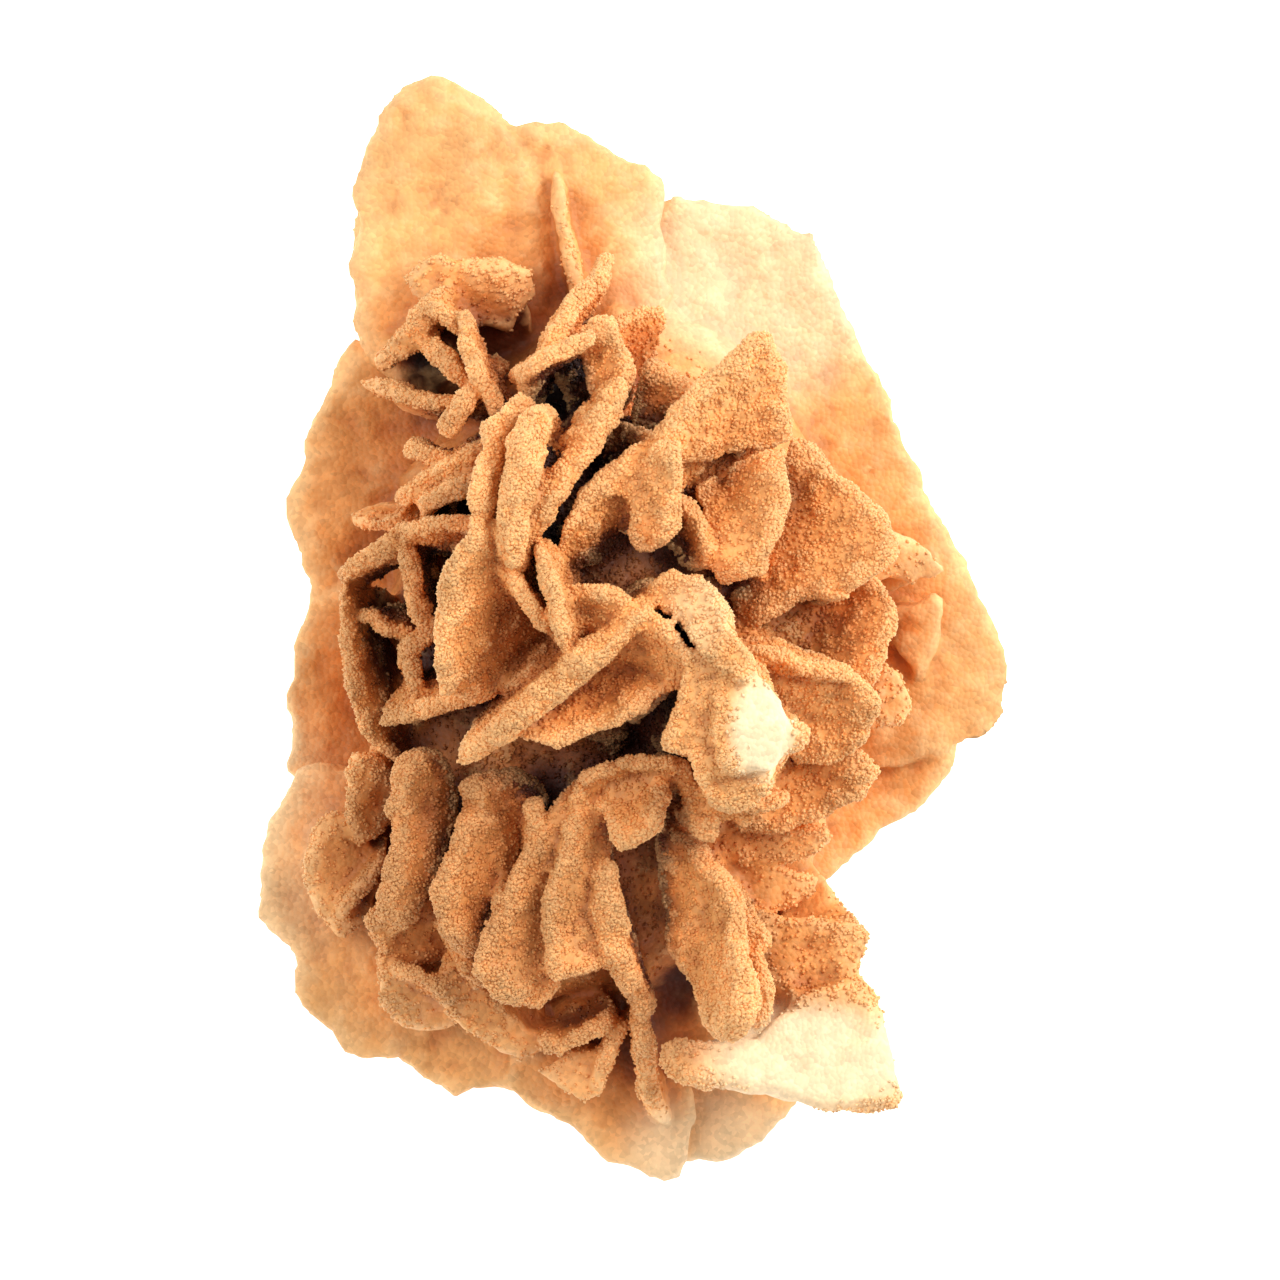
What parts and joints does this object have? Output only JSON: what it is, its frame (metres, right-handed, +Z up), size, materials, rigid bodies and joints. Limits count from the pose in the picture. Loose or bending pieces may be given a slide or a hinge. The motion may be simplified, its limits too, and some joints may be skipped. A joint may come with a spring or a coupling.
{
  "type": "gypsum specimen",
  "caption": "Desert rose of sand-coated gypsum: thin rounded blades grown through each other in one rosette, with broad lobes behind and a broken pale crystal in the middle.",
  "frame": {"origin": "middle of the base of the specimen's bounding box, on the surface that it lies on", "axes": "+Z up out of the rosette, +Y along the specimen's length towards its two broad lobes, +X towards the long plate with the straight edge"},
  "size_m": [0.04, 0.0578, 0.0242],
  "materials": {
    "gypsum": "rough, coated with fine orange-brown sand"
  },
  "bodies": {
    "root": {"desert_rose": "gypsum"}
  },
  "joints": []
}
